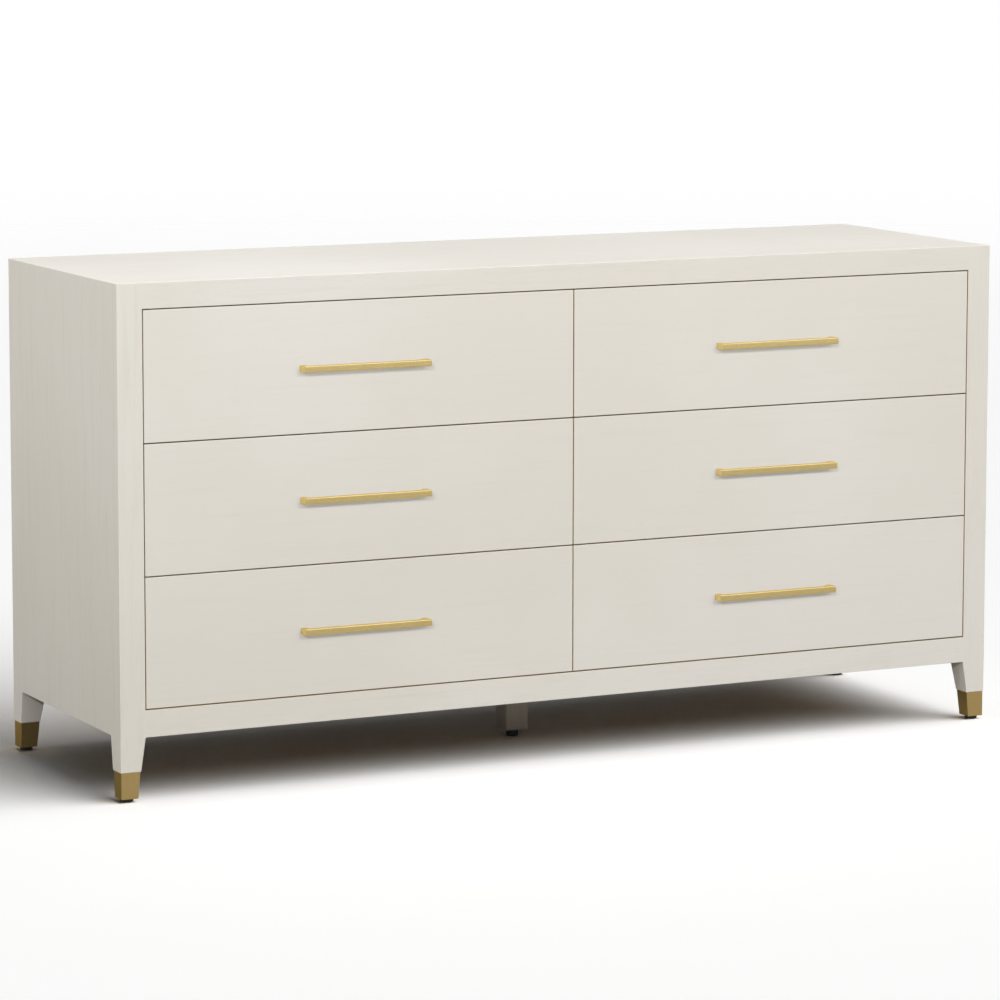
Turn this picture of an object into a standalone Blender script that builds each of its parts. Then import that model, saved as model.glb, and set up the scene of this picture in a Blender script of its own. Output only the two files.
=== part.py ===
"""Six-drawer dresser: painted case on metal-capped legs, with drawers on side-mounted metal slides.

The front faces -Y, +X runs to the right and +Z is up.  The origin is on the floor, under the
middle of the whole object, handles included.  All sizes are in metres.
"""

import math

import bmesh
import bpy
from mathutils import Matrix, Vector

# Whole object
WIDTH = 1.6764
DEPTH = 0.513
HEIGHT = 0.8636
JOINT_GAP = 0.0003

# Painted case
TOP_THICKNESS = 0.043
STILE_WIDTH = 0.0445
RAIL_HEIGHT = 0.0455
RAIL_THICKNESS = 0.022
OPENING_HEIGHT = 0.6669
BASE_THICKNESS = 0.018
BASE_RECESS = 0.005
DIVIDER_THICKNESS = 0.018
BACK_THICKNESS = 0.006
BACK_RECESS = 0.010
CASE_EASING = 0.0012

# Legs, their metal caps and the glides under them
LEG_TOP = 0.0445
LEG_FOOT = 0.0360
FERRULE_TOP_WIDTH = 0.0340
FERRULE_BOTTOM_WIDTH = 0.0302
FERRULE_HEIGHT = 0.0450
FERRULE_RISE = 0.0064
FERRULE_INSET = 0.0011
FERRULE_WALL = 0.0012
FERRULE_EASING = 0.0006
GLIDE_RADIUS = 0.0110
GLIDE_EDGE = 0.0015
STEM_RADIUS = 0.0040
STEM_LENGTH = 0.0240
STEM_CLEARANCE = 0.0004
CENTRE_LEG_WIDTH = 0.0430
CENTRE_LEG_SETBACK = 0.2160
CENTRE_LEG_RISE = 0.0135
ROUND_STEPS = 24
SHARP_ANGLE = 0.9

# Drawers
ROWS = ("bottom", "middle", "top")
SIDES = {"left": -1, "right": 1}
REVEAL = 0.0020
FRONT_THICKNESS = 0.0190
FRONT_EASING = 0.0010
BOX_LENGTH = 0.4500
BOX_HEIGHT = 0.1500
BOX_RISE = 0.0160
BOX_WALL = 0.0120
BOX_FLOOR = 0.0060
BOX_FLOOR_RISE = 0.0100
BOX_EASING = 0.0010

# Slides: a channel on the case wall, with a narrower channel on the drawer running inside it
SLIDE_ROOM = 0.0130
SLIDE_LENGTH = 0.4460
SLIDE_SETBACK = 0.0025
SLIDE_SHEET = 0.0012
SLIDE_HEIGHT_IN_BOX = 0.0600
RUNNER_HEIGHT = 0.0450
RUNNER_DEPTH = 0.0095
RUNNER_LIP = 0.0030
SLIDER_HEIGHT = 0.0330
SLIDER_DEPTH = 0.0095

# Bar handles: square bar with a square post at each end
HANDLE_LENGTH = 0.2340
HANDLE_BAR = 0.0110
HANDLE_PROJECTION = 0.0220
HANDLE_EASING = 0.0009

# Places worked out from the sizes above
HANDLE_REACH = HANDLE_PROJECTION + JOINT_GAP
FRONT_Y = (HANDLE_REACH - DEPTH) / 2
BACK_Y = FRONT_Y + DEPTH
HALF_WIDTH = WIDTH / 2
HALF_OPENING = HALF_WIDTH - STILE_WIDTH
OPENING_TOP = HEIGHT - TOP_THICKNESS
OPENING_BOTTOM = OPENING_TOP - OPENING_HEIGHT
CASE_BOTTOM = OPENING_BOTTOM - RAIL_HEIGHT
BASE_BOTTOM = CASE_BOTTOM + BASE_RECESS
BASE_TOP = BASE_BOTTOM + BASE_THICKNESS
BACK_OUTER_Y = BACK_Y - BACK_RECESS
BACK_INNER_Y = BACK_OUTER_Y - BACK_THICKNESS
FRONT_BACK_Y = FRONT_Y + FRONT_THICKNESS
DRAWER_FRONT_HEIGHT = (OPENING_HEIGHT - 4 * REVEAL) / 3
DRAWER_FRONT_WIDTH = HALF_OPENING - 1.5 * REVEAL
BAY_INNER = DIVIDER_THICKNESS / 2
BAY_OUTER = HALF_OPENING
FERRULE_TOP_Z = FERRULE_RISE + FERRULE_HEIGHT
TENON_BOTTOM = FERRULE_RISE + FERRULE_WALL + JOINT_GAP

# Distances below which two places count as one
SAME_PLACE = 0.0001
MERGE_DISTANCE = 0.00001

# Colours (linear), roughness and metallic value
PAINT = ((0.72, 0.69, 0.62, 1.0), 0.45, 0.0)
SHADED_PAINT = ((0.62, 0.59, 0.52, 1.0), 0.50, 0.0)
BARE_WOOD = ((0.56, 0.40, 0.25, 1.0), 0.60, 0.0)
BACKING = ((0.50, 0.42, 0.31, 1.0), 0.70, 0.0)
BRASS = ((0.60, 0.44, 0.20, 1.0), 0.32, 1.0)
ZINC = ((0.55, 0.56, 0.58, 1.0), 0.35, 1.0)
NYLON = ((0.02, 0.02, 0.02, 1.0), 0.55, 0.0)


def clear_scene():
    """Remove every object that is already in the scene."""
    for old in list(bpy.data.objects):
        bpy.data.objects.remove(old, do_unlink=True)


def make_collection(name):
    """Return a new collection linked to the scene."""
    collection = bpy.data.collections.new(name)
    bpy.context.scene.collection.children.link(collection)
    return collection


def make_material(name, look):
    """Return a Principled material with the given colour, roughness and metallic value."""
    color, roughness, metallic = look
    material = bpy.data.materials.new(name)
    material.use_nodes = True
    shader = material.node_tree.nodes["Principled BSDF"]
    shader.inputs["Base Color"].default_value = color
    shader.inputs["Roughness"].default_value = roughness
    shader.inputs["Metallic"].default_value = metallic
    return material


def finish_mesh(name, mesh_data, look, collection):
    """Wrap a bmesh in a named object of the collection, with its own material."""
    mesh = bpy.data.meshes.new(name)
    mesh_data.normal_update()
    bmesh.ops.recalc_face_normals(mesh_data, faces=mesh_data.faces)
    mesh_data.to_mesh(mesh)
    mesh_data.free()
    result = bpy.data.objects.new(name, mesh)
    collection.objects.link(result)
    if look is not None:
        mesh.materials.append(make_material(name, look))
    return result


def span_box(low, high):
    """Return a bmesh cube stretched between two opposite corners."""
    mesh_data = bmesh.new()
    low = Vector(low)
    high = Vector(high)
    size = high - low
    place = Matrix.Translation((low + high) / 2) @ Matrix.Diagonal((*size, 1.0))
    bmesh.ops.create_cube(mesh_data, size=1.0, matrix=place)
    return mesh_data


def add_bevel(target, width, limit="ANGLE"):
    """Ease the sharp edges of an object, or only its marked edges if limit is WEIGHT."""
    bevel = target.modifiers.new("easing", "BEVEL")
    bevel.width = width
    bevel.segments = 2
    bevel.limit_method = limit
    bevel.angle_limit = SHARP_ANGLE


def mark_outside_edges(mesh_data, lowest):
    """Mark the sharp outward edges above a height, so that a bevel eases only those."""
    weights = mesh_data.edges.layers.float.new("bevel_weight_edge")
    mesh_data.normal_update()
    for edge in mesh_data.edges:
        above = all(corner.co.z > lowest for corner in edge.verts)
        if above and edge.calc_face_angle_signed(0.0) > SHARP_ANGLE:
            edge[weights] = 1.0


def add_cut(target, cutter):
    """Subtract a cutter from an object."""
    cutter.hide_render = True
    cutter.display_type = "WIRE"
    cut = target.modifiers.new("cut " + cutter.name, "BOOLEAN")
    cut.operation = "DIFFERENCE"
    cut.solver = "EXACT"
    cut.object = cutter


def make_box(name, low, high, look, collection, easing=0.0):
    """Return a box object between two corners, placed by its location."""
    low = Vector(low)
    high = Vector(high)
    centre = (low + high) / 2
    result = finish_mesh(name, span_box(low - centre, high - centre), look, collection)
    result.location = centre
    if easing > 0.0:
        add_bevel(result, easing)
    return result


def attach(child, parent):
    """Parent an object without moving it."""
    bpy.context.view_layer.update()
    child.parent = parent
    child.matrix_parent_inverse = parent.matrix_world.inverted()


def make_square_frustum(name, across, along, top, bottom, look, collection):
    """Return a four-sided tapered block.

    across and along are (outer face, inner face at the top, inner face at the bottom) in X and Y.
    """
    mesh_data = bmesh.new()
    bmesh.ops.create_cube(mesh_data, size=2.0)
    for corner in mesh_data.verts:
        level = 1 if corner.co.z > 0 else 2
        x = across[0] if corner.co.x < 0 else across[level]
        y = along[0] if corner.co.y < 0 else along[level]
        corner.co = (x, y, top if corner.co.z > 0 else bottom)
    return finish_mesh(name, mesh_data, look, collection)


def make_cylinder_cutter(name, radius, x, y, low, high, cutters):
    """Return an upright cylinder used to drill a hole."""
    mesh_data = bmesh.new()
    place = Matrix.Translation((x, y, (low + high) / 2))
    bmesh.ops.create_cone(
        mesh_data,
        cap_ends=True,
        segments=ROUND_STEPS,
        radius1=radius,
        radius2=radius,
        depth=high - low,
        matrix=place,
    )
    return finish_mesh(name, mesh_data, None, cutters)


def leg_corner(side, end):
    """Return the outer corner of a corner leg: side is -1 or 1 in X, end is -1 or 1 in Y."""
    return side * HALF_WIDTH, FRONT_Y if end < 0 else BACK_Y


def foot_centre(side, end):
    """Return the middle of a metal cap's underside."""
    corner_x, corner_y = leg_corner(side, end)
    reach = FERRULE_INSET + FERRULE_BOTTOM_WIDTH / 2
    return corner_x - side * reach, corner_y - end * reach


def make_side_frame(name, side, cutters, collection):
    """Return a case side with its two tapered legs, and the tenons inside their metal caps."""
    outer_x, _ = leg_corner(side, -1)
    inner_x = side * HALF_OPENING
    low = (min(outer_x, inner_x), FRONT_Y, CASE_BOTTOM)
    high = (max(outer_x, inner_x), BACK_Y, OPENING_TOP - JOINT_GAP)
    mesh_data = span_box(low, high)

    for leg_edge in (FRONT_Y + LEG_TOP, BACK_Y - LEG_TOP):
        bmesh.ops.bisect_plane(
            mesh_data,
            geom=mesh_data.verts[:] + mesh_data.edges[:] + mesh_data.faces[:],
            plane_co=(0, leg_edge, 0),
            plane_no=(0, 1, 0),
        )

    tenon_inset = FERRULE_INSET + FERRULE_WALL + JOINT_GAP
    tenon_slack = 2 * (FERRULE_WALL + JOINT_GAP)
    for end in (-1, 1):
        _, corner_y = leg_corner(side, end)
        leg_middle = corner_y - end * LEG_TOP / 2
        face = next(
            face
            for face in mesh_data.faces
            if face.calc_center_median().z < CASE_BOTTOM + SAME_PLACE
            and abs(face.calc_center_median().y - leg_middle) < SAME_PLACE
        )
        stages = (
            (FERRULE_TOP_Z + JOINT_GAP, 0.0, LEG_FOOT),
            (FERRULE_TOP_Z + JOINT_GAP, tenon_inset, FERRULE_TOP_WIDTH - tenon_slack),
            (TENON_BOTTOM, tenon_inset, FERRULE_BOTTOM_WIDTH - tenon_slack),
        )
        for level, inset, width in stages:
            extruded = bmesh.ops.extrude_discrete_faces(mesh_data, faces=[face])
            face = extruded["faces"][0]
            middle = face.calc_center_median()
            for corner in face.verts:
                outward_x = side * (corner.co.x - middle.x) > 0
                outward_y = end * (corner.co.y - middle.y) > 0
                corner.co.x = outer_x - side * (inset if outward_x else inset + width)
                corner.co.y = corner_y - end * (inset if outward_y else inset + width)
                corner.co.z = level

    mark_outside_edges(mesh_data, FERRULE_TOP_Z)
    result = finish_mesh(name, mesh_data, PAINT, collection)
    add_bevel(result, CASE_EASING, "WEIGHT")
    for end in (-1, 1):
        x, y = foot_centre(side, end)
        place = "front" if end < 0 else "back"
        drill = make_cylinder_cutter(
            f"cut_{name}_{place}_stem",
            STEM_RADIUS + STEM_CLEARANCE,
            x,
            y,
            -JOINT_GAP,
            FERRULE_RISE + STEM_LENGTH + STEM_CLEARANCE,
            cutters,
        )
        add_cut(result, drill)
    return result


def make_ferrule(name, side, end, cutters, collection):
    """Return a tapered metal cup that closes the foot of a corner leg."""
    corner_x, corner_y = leg_corner(side, end)

    def faces(corner, direction, inset, top_width, bottom_width):
        outer = corner - direction * inset
        return outer, outer - direction * top_width, outer - direction * bottom_width

    shell = make_square_frustum(
        name,
        faces(corner_x, side, FERRULE_INSET, FERRULE_TOP_WIDTH, FERRULE_BOTTOM_WIDTH),
        faces(corner_y, end, FERRULE_INSET, FERRULE_TOP_WIDTH, FERRULE_BOTTOM_WIDTH),
        FERRULE_TOP_Z,
        FERRULE_RISE,
        BRASS,
        collection,
    )
    inset = FERRULE_INSET + FERRULE_WALL
    slope = (FERRULE_TOP_WIDTH - FERRULE_BOTTOM_WIDTH) / FERRULE_HEIGHT
    top_width = FERRULE_TOP_WIDTH - 2 * FERRULE_WALL + slope * FERRULE_WALL
    bottom_width = FERRULE_BOTTOM_WIDTH - 2 * FERRULE_WALL + slope * FERRULE_WALL
    cavity = make_square_frustum(
        f"cut_{name}_cavity",
        faces(corner_x, side, inset, top_width, bottom_width),
        faces(corner_y, end, inset, top_width, bottom_width),
        FERRULE_TOP_Z + FERRULE_WALL,
        FERRULE_RISE + FERRULE_WALL,
        None,
        cutters,
    )
    x, y = foot_centre(side, end)
    drill = make_cylinder_cutter(
        f"cut_{name}_stem",
        STEM_RADIUS + STEM_CLEARANCE,
        x,
        y,
        0.0,
        FERRULE_RISE + 3 * FERRULE_WALL,
        cutters,
    )
    add_bevel(shell, FERRULE_EASING)
    add_cut(shell, cavity)
    add_cut(shell, drill)
    return shell


def make_glide(name, x, y, exposed, collection):
    """Return a levelling glide: a round pad with a stem, turned from its outline."""
    outline = (
        (STEM_RADIUS, exposed + STEM_LENGTH),
        (STEM_RADIUS, exposed - JOINT_GAP),
        (GLIDE_RADIUS - GLIDE_EDGE, exposed - JOINT_GAP),
        (GLIDE_RADIUS, exposed - JOINT_GAP - GLIDE_EDGE),
        (GLIDE_RADIUS, GLIDE_EDGE),
        (GLIDE_RADIUS - GLIDE_EDGE, 0.0),
    )
    mesh = bpy.data.meshes.new(name)
    points = [(0.0, 0.0, outline[0][1])]
    points += [(radius, 0.0, height) for radius, height in outline]
    points.append((0.0, 0.0, 0.0))
    mesh.from_pydata(points, [(i, i + 1) for i in range(len(points) - 1)], [])
    mesh.materials.append(make_material(name, NYLON))
    result = bpy.data.objects.new(name, mesh)
    result.location = (x, y, 0.0)
    collection.objects.link(result)
    turn = result.modifiers.new("turn", "SCREW")
    turn.axis = "Z"
    turn.steps = ROUND_STEPS
    turn.render_steps = ROUND_STEPS
    turn.use_merge_vertices = True
    turn.merge_threshold = MERGE_DISTANCE
    return result


def make_centre_leg(cutters, collection):
    """Return the square support block under the middle of the case."""
    half = CENTRE_LEG_WIDTH / 2
    front = FRONT_Y + CENTRE_LEG_SETBACK
    leg = make_box(
        "centre_leg",
        (-half, front, CENTRE_LEG_RISE),
        (half, front + CENTRE_LEG_WIDTH, BASE_BOTTOM - JOINT_GAP),
        SHADED_PAINT,
        collection,
    )
    drill = make_cylinder_cutter(
        "cut_centre_leg_stem",
        STEM_RADIUS + STEM_CLEARANCE,
        0.0,
        front + half,
        0.0,
        CENTRE_LEG_RISE + STEM_LENGTH + STEM_CLEARANCE,
        cutters,
    )
    add_cut(leg, drill)
    add_bevel(leg, CASE_EASING)
    return leg


def make_case(cutters, collection):
    """Make the fixed pieces of the dresser."""
    inner = HALF_OPENING - JOINT_GAP
    ceiling = OPENING_TOP - JOINT_GAP
    rail_back = FRONT_Y + RAIL_THICKNESS + JOINT_GAP
    make_box(
        "top_panel",
        (-HALF_WIDTH, FRONT_Y, OPENING_TOP),
        (HALF_WIDTH, BACK_Y, HEIGHT),
        PAINT,
        collection,
        CASE_EASING,
    )
    make_box(
        "bottom_rail",
        (-inner, FRONT_Y, CASE_BOTTOM),
        (inner, FRONT_Y + RAIL_THICKNESS, OPENING_BOTTOM),
        PAINT,
        collection,
        CASE_EASING,
    )
    make_box(
        "base_panel",
        (-inner, rail_back, BASE_BOTTOM),
        (inner, BACK_INNER_Y - JOINT_GAP, BASE_TOP),
        BARE_WOOD,
        collection,
    )
    make_box(
        "back_panel",
        (-inner, BACK_INNER_Y, CASE_BOTTOM),
        (inner, BACK_OUTER_Y, ceiling),
        BACKING,
        collection,
    )
    make_box(
        "centre_divider",
        (-DIVIDER_THICKNESS / 2, rail_back, BASE_TOP + JOINT_GAP),
        (DIVIDER_THICKNESS / 2, BACK_INNER_Y - JOINT_GAP, ceiling),
        BARE_WOOD,
        collection,
    )
    leg = make_centre_leg(cutters, collection)
    make_glide("glide_centre", leg.location.x, leg.location.y, CENTRE_LEG_RISE, collection)

    for side_name, side in SIDES.items():
        make_side_frame(f"side_frame_{side_name}", side, cutters, collection)
        for place, end in (("front", -1), ("back", 1)):
            make_ferrule(f"ferrule_{place}_{side_name}", side, end, cutters, collection)
            x, y = foot_centre(side, end)
            make_glide(f"glide_{place}_{side_name}", x, y, FERRULE_RISE, collection)


def make_drawer_box(name, low, high, cutters, collection):
    """Return an open-topped drawer box whose floor sits a little above its lower edge."""
    box = make_box(name, low, high, BARE_WOOD, collection, BOX_EASING)
    inside_low = Vector(low) + Vector((BOX_WALL, BOX_WALL, BOX_FLOOR_RISE + BOX_FLOOR))
    inside_high = Vector(high) - Vector((BOX_WALL, BOX_WALL, -BOX_WALL))
    under_low = Vector((inside_low.x, inside_low.y, low[2] - BOX_WALL))
    under_high = Vector((inside_high.x, inside_high.y, low[2] + BOX_FLOOR_RISE))
    for label, bottom, top in (
        ("inside", inside_low, inside_high),
        ("underside", under_low, under_high),
    ):
        cutter = make_box(f"cut_{name}_{label}", bottom, top, None, cutters)
        add_cut(box, cutter)
    return box


def make_handle(name, centre, cutters, collection):
    """Return a square bar handle with a post at each end, standing off the drawer front."""
    half = Vector((HANDLE_LENGTH / 2, HANDLE_PROJECTION / 2, HANDLE_BAR / 2))
    middle = Vector(centre) - Vector((0, HANDLE_PROJECTION / 2, 0))
    handle = make_box(name, middle - half, middle + half, BRASS, collection)
    finger_low = Vector((-half.x + HANDLE_BAR, -half.y + HANDLE_BAR, -HANDLE_BAR))
    finger_high = Vector((half.x - HANDLE_BAR, half.y + HANDLE_BAR, HANDLE_BAR))
    cutter = make_box(
        f"cut_{name}_gap", middle + finger_low, middle + finger_high, None, cutters
    )
    add_cut(handle, cutter)
    add_bevel(handle, HANDLE_EASING)
    return handle


def channel_outline(height, depth, lip):
    """Return the closed outline of a sheet channel: back at x = 0, flanges reaching to depth."""
    half = height / 2
    outline = [(0.0, -half), (depth, -half)]
    if lip > 0.0:
        outline += [(depth, -half + lip), (depth - SLIDE_SHEET, -half + lip)]
        outline.append((depth - SLIDE_SHEET, -half + SLIDE_SHEET))
    else:
        outline.append((depth, -half + SLIDE_SHEET))
    outline.append((SLIDE_SHEET, -half + SLIDE_SHEET))
    return outline + [(x, -z) for x, z in reversed(outline)]


def make_channel(name, wall_x, facing, centre_y, centre_z, section, collection):
    """Return a pressed channel that runs along Y with its back on a wall at wall_x."""
    curve = bpy.data.curves.new(name, "CURVE")
    curve.dimensions = "2D"
    curve.fill_mode = "BOTH"
    curve.extrude = SLIDE_LENGTH / 2
    spline = curve.splines.new("POLY")
    outline = channel_outline(*section)
    spline.points.add(len(outline) - 1)
    for point, (x, z) in zip(spline.points, outline):
        point.co = (facing * x, z, 0.0, 1.0)
    spline.use_cyclic_u = True
    curve.materials.append(make_material(name, ZINC))
    channel = bpy.data.objects.new(name, curve)
    collection.objects.link(channel)
    channel.rotation_euler = (math.pi / 2, 0.0, 0.0)
    channel.location = (wall_x + facing * JOINT_GAP, centre_y, centre_z)
    return channel


def make_drawer(row, row_name, side_name, side, cutters, collection):
    """Make one drawer with its handle, and the slides that carry it."""
    label = f"{row_name}_{side_name}"
    front_low_z = OPENING_BOTTOM + REVEAL + row * (DRAWER_FRONT_HEIGHT + REVEAL)
    front_middle_x = side * (REVEAL / 2 + DRAWER_FRONT_WIDTH / 2)
    front_middle_z = front_low_z + DRAWER_FRONT_HEIGHT / 2

    travel = bpy.data.objects.new(f"travel_{label}", None)
    travel.location = (front_middle_x, FRONT_Y, front_middle_z)
    collection.objects.link(travel)

    half_width = DRAWER_FRONT_WIDTH / 2
    half_height = DRAWER_FRONT_HEIGHT / 2
    moving = [
        make_box(
            f"drawer_front_{label}",
            (front_middle_x - half_width, FRONT_Y, front_middle_z - half_height),
            (front_middle_x + half_width, FRONT_BACK_Y, front_middle_z + half_height),
            PAINT,
            collection,
            FRONT_EASING,
        )
    ]

    box_near = side * (BAY_INNER + SLIDE_ROOM)
    box_far = side * (BAY_OUTER - SLIDE_ROOM)
    box_y = FRONT_BACK_Y + JOINT_GAP
    box_z = front_low_z + BOX_RISE
    moving.append(
        make_drawer_box(
            f"drawer_box_{label}",
            (min(box_near, box_far), box_y, box_z),
            (max(box_near, box_far), box_y + BOX_LENGTH, box_z + BOX_HEIGHT),
            cutters,
            collection,
        )
    )
    handle_centre = (front_middle_x, FRONT_Y - JOINT_GAP, front_middle_z)
    moving.append(make_handle(f"handle_{label}", handle_centre, cutters, collection))

    slide_y = FRONT_BACK_Y + SLIDE_SETBACK + SLIDE_LENGTH / 2
    slide_z = box_z + SLIDE_HEIGHT_IN_BOX
    runner = (RUNNER_HEIGHT, RUNNER_DEPTH, RUNNER_LIP)
    slider = (SLIDER_HEIGHT, SLIDER_DEPTH, 0.0)
    walls = (("inner", side * BAY_INNER, side, box_near), ("outer", side * BAY_OUTER, -side, box_far))
    for place, wall_x, facing, box_x in walls:
        make_channel(
            f"runner_{label}_{place}", wall_x, facing, slide_y, slide_z, runner, collection
        )
        moving.append(
            make_channel(
                f"slider_{label}_{place}", box_x, -facing, slide_y, slide_z, slider, collection
            )
        )
    for piece in moving:
        attach(piece, travel)


def main():
    clear_scene()
    dresser = make_collection("dresser")
    cutters = make_collection("cutters")
    make_case(cutters, dresser)
    for row, row_name in enumerate(ROWS):
        for side_name, side in SIDES.items():
            make_drawer(row, row_name, side_name, side, cutters, dresser)


main()
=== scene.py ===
"""Looks of the painted six-drawer dresser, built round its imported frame.

The front faces -Y, +X runs to the right, +Z is up, and the floor is at zero.  Sizes are in metres.
"""

import math

import bmesh
import bpy
from mathutils import Euler, Matrix, Vector


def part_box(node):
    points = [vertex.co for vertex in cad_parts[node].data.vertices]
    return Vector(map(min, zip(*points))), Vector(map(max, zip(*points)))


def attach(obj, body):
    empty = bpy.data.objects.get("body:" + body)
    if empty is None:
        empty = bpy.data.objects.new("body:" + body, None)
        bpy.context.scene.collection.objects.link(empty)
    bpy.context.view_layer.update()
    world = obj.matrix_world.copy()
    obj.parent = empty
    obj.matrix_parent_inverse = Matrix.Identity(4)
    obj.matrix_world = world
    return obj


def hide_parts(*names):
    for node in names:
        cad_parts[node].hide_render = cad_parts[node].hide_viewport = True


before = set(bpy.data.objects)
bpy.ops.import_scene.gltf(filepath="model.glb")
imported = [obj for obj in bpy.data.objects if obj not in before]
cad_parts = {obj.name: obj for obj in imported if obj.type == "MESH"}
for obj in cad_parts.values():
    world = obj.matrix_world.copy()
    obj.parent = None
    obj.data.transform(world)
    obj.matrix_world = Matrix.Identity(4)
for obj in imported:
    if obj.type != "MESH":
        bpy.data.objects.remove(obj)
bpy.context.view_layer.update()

ROWS = ("bottom", "middle", "top")
SIDES = {"left": -1, "right": 1}
DRAWERS = [f"{row}_{side}" for row in ROWS for side in SIDES]

# Positions closer than this count as the same, and an edge that turns less counts as flat
SAME_PLACE = 1e-4
MERGE_DISTANCE = 1e-6
FLAT_ANGLE = 0.02

# Edges that turn more than these angles are eased, or stay sharp in the shading.  Nothing turns
# as far as ROUND_ANGLE, which leaves a piece smooth all over.
EASED_ANGLE = 0.6
SHARP_ANGLE = 0.9
ROUND_ANGLE = 3.0
FLAT_FACE_WEIGHT = 80

# A face is square to an axis when its normal's share along it is over this, or it is end grain
SQUARE_SHARE = 0.5
END_GRAIN_SHARE = 0.7

# Painted case.  The shares are of the outer edges' easing.
OUTER_EDGE = 0.0009
OPENING_EDGE_SHARE = 0.45
LEG_END_SHARE = 0.3
UNEASED_TURN = 0.1
LEG_FOOT_WIDTH = 0.0360
CAP_CLEARANCE = 0.0003
CUT_BEYOND = 0.1

# Drawer boxes
BOARD = 0.012
BOARD_EASING = 0.0008
TAIL_COUNT = 4
TAIL_SLOPE = 0.16
TAIL_HALF_SHARE = 0.33
THIN_EASING = BOARD_EASING * 0.4
BOTTOM_THICKNESS = 0.006
BOTTOM_RISE = 0.010
BOTTOM_SETBACK = 0.001
GROOVE = 0.005
FIT = 0.00012

# Drawer fronts and handles
FRONT_EASING = 0.0009
HANDLE_EASING = 0.0014
HANDLE_SCREW_RADIUS = 0.0042
HANDLE_SCREW_HEIGHT = 0.0024
WASHER_RADIUS = 0.0075
WASHER_THICKNESS = 0.0008

# Profiles of every screw head and washer: share of the radius, share of the height
HEAD_SIDES = 32
HEAD_PROFILE = ((1.0, 0.0), (1.0, 0.55), (0.93, 0.82), (0.76, 1.0))
WASHER_PROFILE = ((1.0, 0.0), (1.0, 0.6), (0.94, 1.0))

# Cross recess of a screw head, as shares of the head's radius, of the recess and of the height
RECESS_ARM = 0.17
RECESS_REACH = 0.62
RECESS_TAPER = 0.7
RECESS_FLOOR = 0.3

# Slides
SHEET = 0.0012
BALL_RADIUS = 0.0020
BALL_SPACING = 0.0120
BALL_SEGMENTS = 12
BALL_RINGS = 8
CAGE_LENGTH = 0.1080
CAGE_SETBACK = 0.0060
CAGE_HALF_THICKNESS = BALL_RADIUS * 0.9
CAGE_HALF_WEB = 0.0032
CAGE_EASING = 0.0004
SLIDE_SCREW_RADIUS = 0.0034
SLIDE_SCREW_HEIGHT = 0.0010

# Places of the slides' screws, as shares of the runner's length from the front
RUNNER_SCREWS = (0.34, 0.62, 0.93)
SLIDER_SCREWS = (0.07, 0.46, 0.78)

# Screws of the back panel
BACK_SCREW_SPACING = 0.150
BACK_SCREW_MARGIN = 0.008
BACK_SCREW_RADIUS = 0.0024
BACK_SCREW_HEIGHT = 0.0008
LOWER_ROW_RAISE = 0.010

# Camera, floor and light.  Angles are in degrees, and the lens and the sensor in millimetres.
CAMERA_PLACE = (-3.4636, -6.9930, 1.5618)
CAMERA_HEADING = -26.215
CAMERA_TILT = -7.017
CAMERA_ROLL = 0.057
CAMERA_LENS = 160.10
CAMERA_SENSOR = 36.0
CAMERA_RISE = -0.10
CAMERA_SIGHT = 200.0
FLOOR_SIZE = 60.0
FLOOR_FADE = (5.0, 14.0)

# Strength of the white surroundings as a light and in reflections, and the side lights' colour
FILL_LEVEL = 0.025
SHINE_LEVEL = 0.58
SIDE_TINT = (1.0, 0.985, 0.95)


# Materials ------------------------------------------------------------------------------------


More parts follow.
